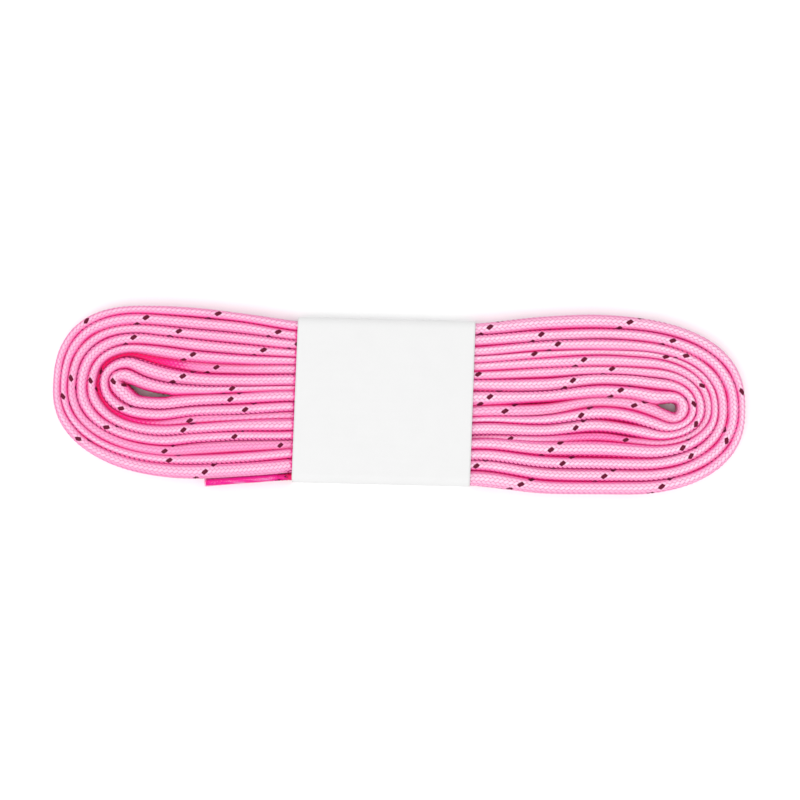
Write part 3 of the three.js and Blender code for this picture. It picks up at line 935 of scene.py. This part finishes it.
laces = {}
ends = {}
for key, line in lines.items():
    sides = spread(line, every_ring)
    run = run_of(line)
    bottom, top = levels(line, run)
    u = marker_run(line, 0.4 + 7 * MARKER_PERIOD)
    from_end = run[-1] - run
    keep = from_end > AGLET_LENGTH
    if key == "b":
        keep &= run > AGLET_LENGTH
    cut = np.flatnonzero(keep)
    first, last = cut[0], cut[-1]
    start_gather = (run - run[first]) / TAPER
    end_gather = (run[last] - run) / TAPER
    start_level = TAIL_LEVEL if key == "a" else HIDDEN_LEVEL
    for share, level in ((start_gather, start_level), (end_gather, HIDDEN_LEVEL)):
        left, low, high = gather(share, sides[REACH, 0], bottom, top, level)
        right, bottom, top = gather(share, sides[REACH, 1], bottom, top, level)
        sides[REACH] = left, right
    ends[key] = {"inner": line[last:], "outer": line[: first + 1]}
    pick = slice(first, last + 1)
    # Painted shade: lace a's first few mm, where the bare lace goes in under the band, are coloured as
    # deep as its gathered end.
    if key == "a":
        line[:, SUNK] += 3 * smooth((4.5 - run) / 2)  # only its colour: as deep as its gathered end's
    kept = (line[pick], u[pick], sides[:, :, pick], bottom[pick], top[pick])
    laces[key] = braid_piece(f"lace_{key}_braid", *kept, lace_material)
    middle = (bottom[pick] + top[pick]) / 2
    laces[key + "_path"] = placed(np.column_stack([line[pick, :2], middle]))
    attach(laces[key], "hank")
    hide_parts(f"lace_{key}")

# ---- Aglets and the gathered ends in them -----------------------------------------------------------

SLOT_STEPS = 10  # round each end of the film's section
TIP_LONG = 3.5  # the stretch at its tip over which the film is pinched
TIP_PINCH = 0.16
MOUTH_LONG = 1.2  # the stretch at its mouth over which it widens
MOUTH_WIDENS = 0.05


def straight_line(start, end):
    count = max(4, int(round(np.hypot(*(np.subtract(end, start))) / RING_STEP)) + 1)
    share = np.linspace(0, 1, count)[:, None]
    points = np.array(start) + (np.array(end) - np.array(start)) * share
    return np.column_stack([points, np.full((count, 3), 0.0)])


def gathered_end(name, line, level):
    run = run_of(line)
    half = np.full(len(line), GATHERED_THICK / 2)
    half *= 1 + 0.03 * np.sin(run / 1.7)
    low = np.full(len(line), level - GATHERED_HEIGHT / 2)
    # Rows of reach, outside and groove shade: both sides count as shut in, so they take the painted
    # shade of sides and grooves in full.
    sides = np.array([[half, half], [0 * half, 0 * half], [1 + 0 * half, 1 + 0 * half]])
    return braid_piece(name, line, run, sides, low, low + GATHERED_HEIGHT, end_material)


def slot_ring(thick, height):
    """A slot-shaped ring: across and up."""
    half = []
    for i in range(SLOT_STEPS + 1):
        turn = math.pi * i / SLOT_STEPS
        half.append((thick / 2 * math.cos(turn), (height - thick) / 2 + thick / 2 * math.sin(turn)))
    return np.array(half + [(-a, -b) for a, b in half])


def aglet_film(name, line, level):
    """A tube of film pressed over a lace's end: open at its mouth, pinched a little at its tip."""
    run = run_of(line)
    total = run[-1]
    _, left = sideways(line)
    rings = []
    pinch = 1 - TIP_PINCH * smooth((run - total + TIP_LONG) / TIP_LONG)
    pinch = pinch + MOUTH_WIDENS * smooth((MOUTH_LONG - run) / MOUTH_LONG)
    for inward in (0, AGLET_WALL):
        ring = slot_ring(AGLET_THICK - 2 * inward, AGLET_HEIGHT - 2 * inward)
        layer = np.empty((len(line), len(ring), 3))
        wobble = 1 + 0.02 * np.sin(run[:, None] / 1.3 + 3 * ring[None, :, 1])
        reach = ring[None, :, 0] * wobble * (2 - pinch[:, None]) ** 0.5
        layer[..., :2] = line[:, None, :2] + left[:, None] * reach[..., None]
        layer[..., 2] = level + ring[None, :, 1] * pinch[:, None]
        rings.append(layer)
    # Down the outside, round the tip's rim and back up the inside, as one closed band of quads.
    outer, inner = rings
    shell = np.concatenate([outer, inner[::-1]], 0)
    count, around = shell.shape[:2]
    i, j = np.meshgrid(np.arange(count), np.arange(around), indexing="ij")
    next_i, next_j = (i + 1) % count, (j + 1) % around
    corners = [i * around + j, i * around + next_j, next_i * around + next_j, next_i * around + j]
    quads = np.stack(corners, -1)
    mesh = bpy.data.meshes.new(name)
    points = placed(shell.reshape(-1, 3))
    faces = quads.reshape(-1, 4)
    a, b, c = (points[faces[: around * (len(line) - 1), n]] for n in (0, 1, 2))
    centre = points.mean(0)
    if np.einsum("ij,ij->i", a - centre, np.cross(b - centre, c - centre)).sum() < 0:
        faces = faces[:, ::-1]
    mesh.from_pydata(points.tolist(), [], faces.tolist())
    mesh.polygons.foreach_set("use_smooth", np.ones(len(faces), bool))
    mesh.update()
    piece = bpy.data.objects.new(name, mesh)
    bpy.context.scene.collection.objects.link(piece)
    piece.data.materials.append(film)
    return piece


def point_on_slot_one(x):
    high, low = edges_of("lower", 1, x)
    return (x, float((high[0] + low[0]) / 2))


tail_line = straight_line(point_on_slot_one(TAIL_PIVOT_X + 2.4), point_on_slot_one(TAIL_TIP_X + 0.5))
tail = gathered_end("lace_a_tail_braid", tail_line, TAIL_LEVEL)
pivot = point_on_slot_one(TAIL_PIVOT_X)
BEND = 1.6
placed((pivot[0] + BEND, pivot[1], TAIL_LEVEL))
placed((pivot[0] - BEND, pivot[1], TAIL_LEVEL))
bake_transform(tail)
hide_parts("lace_a_tail")
film_line = straight_line(point_on_slot_one(TAIL_PIVOT_X - TAIL_BARE), point_on_slot_one(TAIL_TIP_X))
outer_aglet = aglet_film("lace_a_outer_film", film_line, TAIL_LEVEL)
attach(outer_aglet, "tail")
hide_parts("lace_a_outer_aglet")

on_lace = {"a": [tail, outer_aglet], "b": []}
hidden = [
    ("a", "inner", ends["a"]["inner"]),
    ("b", "inner", ends["b"]["inner"]),
    ("b", "outer", ends["b"]["outer"][::-1]),
]
for key, which, stretch in hidden:
    stretch = straight_line(stretch[0, :2], stretch[-1, :2])
    braid_end = gathered_end(f"lace_{key}_{which}_end_braid", stretch[:-1], HIDDEN_LEVEL)
    cover = aglet_film(f"lace_{key}_{which}_film", stretch[1:], HIDDEN_LEVEL)
    for piece, slot_name, node in (
        (braid_end, "lace", f"lace_{key}_{which}_end"),
        (cover, "aglet_film", f"lace_{key}_{which}_aglet"),
    ):
        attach(piece, "hank")
        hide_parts(node)
        on_lace[key].append(piece)

# ---- The paper band ---------------------------------------------------------------------------------

ARC_STEPS = 10
BAND_STEPS = 70  # from its left end to its right end
BAND_STEP = 0.6  # round it


def arc(y, z, radius, start):
    turn = start + np.linspace(0, math.pi / 2, ARC_STEPS + 1)
    return [(y + radius * math.cos(a), z + radius * math.sin(a)) for a in turn]


def band_path():
    """The paper's middle line in section, from under the laces, round them and back under itself."""
    half = PAPER / 2
    near, far = BAND_NEAR + half, BAND_FAR - half
    inner = PAPER + GLUE + 0.04 + half
    high = BAND_TOP - half
    r, s = BAND_ROUND_TOP, BAND_ROUND_LOW
    quarter = math.pi / 2
    points = [(SEAM_INNER_END, inner)]
    points += arc(far - s, inner + s, s, -quarter)
    points += arc(far - r, high - r, r, 0)
    points += arc(near + r, high - r, r, quarter)
    points += arc(near + s, half + s, s, 2 * quarter)
    points += [(SEAM_OUTER_END, half)]
    return np.array(points)


def evenly_2d(points, step):
    run = np.concatenate([[0], np.cumsum(np.hypot(*np.diff(points, axis=0).T))])
    at = np.linspace(0, run[-1], int(run[-1] / step) + 1)
    return np.column_stack([np.interp(at, run, points[:, c]) for c in (0, 1)])


def band_piece():
    path = evenly_2d(band_path(), BAND_STEP)
    along = np.gradient(path, axis=0)
    along /= np.linalg.norm(along, axis=1)[:, None]
    out = np.column_stack([along[:, 1], -along[:, 0]])
    y = path[:, 0]
    share = (y - BAND_NEAR) / (BAND_FAR - BAND_NEAR)
    right = BAND_RIGHT - BAND_SLANT * (1 - share)
    left = BAND_LEFT + BAND_SLANT * share
    on_top = smooth((path[:, 1] - 5) / 4)
    rings = []
    for t in np.linspace(0, 1, BAND_STEPS):
        x = left + (right - left) * t
        press = 0.015 * np.sin(y * 2 * math.pi / 3.1 + 0.03 * x) * on_top
        billow = 0.08 * np.sin(x / 13.0 + y / 17.0) * on_top
        sheet = path + out * np.minimum(press + billow, 0)[:, None]
        faces = [sheet + out * PAPER / 2, (sheet - out * PAPER / 2)[::-1]]
        flat = np.concatenate(faces)
        rings.append(np.column_stack([np.concatenate([x, x[::-1]]), flat]))
    piece = ring_mesh("paper_band_sheet", placed(np.array(rings)), caps="strip")
    piece.data.materials.append(paper_material())
    return piece


band = band_piece()
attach(band, "band")
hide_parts("paper_band")

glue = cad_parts["band_glue"]
glue.data.materials.clear()
glue.data.materials.append(glue_material())

# ---- Floor and light --------------------------------------------------------------------------------

FLOOR_HALF = 3.0  # metres
FLOOR_BELOW = 0.0001  # metres below the object's lowest face, so that the two don't share a plane
KEY_PLACE = (-0.2, -0.42, 1.4)
KEY_SIZE = 0.9
KEY_POWER = 8
WORLD_STRENGTH = 0.98


def make_floor():
    half = FLOOR_HALF
    mesh = bpy.data.meshes.new("floor")
    corners = [(-half, -half, 0), (half, -half, 0), (half, half, 0), (-half, half, 0)]
    mesh.from_pydata(corners, [], [(0, 1, 2, 3)])
    floor = bpy.data.objects.new("floor", mesh)
    bpy.context.scene.collection.objects.link(floor)
    floor.location.z = -FLOOR_BELOW
    mesh.materials.append(floor_material())
    floor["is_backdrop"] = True


def make_light(name, place, size, power):
    data = bpy.data.lights.new(name, "AREA")
    data.shape = "DISK"
    data.size = size
    data.energy = power
    light = bpy.data.objects.new(name, data)
    bpy.context.scene.collection.objects.link(light)
    light.location = place
    light.rotation_euler = (-Vector(place)).to_track_quat("-Z", "Y").to_euler()


def make_world(strength):
    world = bpy.data.worlds.new("studio")
    world.use_nodes = True
    background = world.node_tree.nodes["Background"]
    background.inputs["Color"].default_value = (1, 1, 1, 1)
    background.inputs["Strength"].default_value = strength
    bpy.context.scene.world = world


make_floor()
make_light("key", KEY_PLACE, KEY_SIZE, KEY_POWER)
make_world(WORLD_STRENGTH)
bpy.context.scene.view_settings.view_transform = "Standard"

low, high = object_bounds()
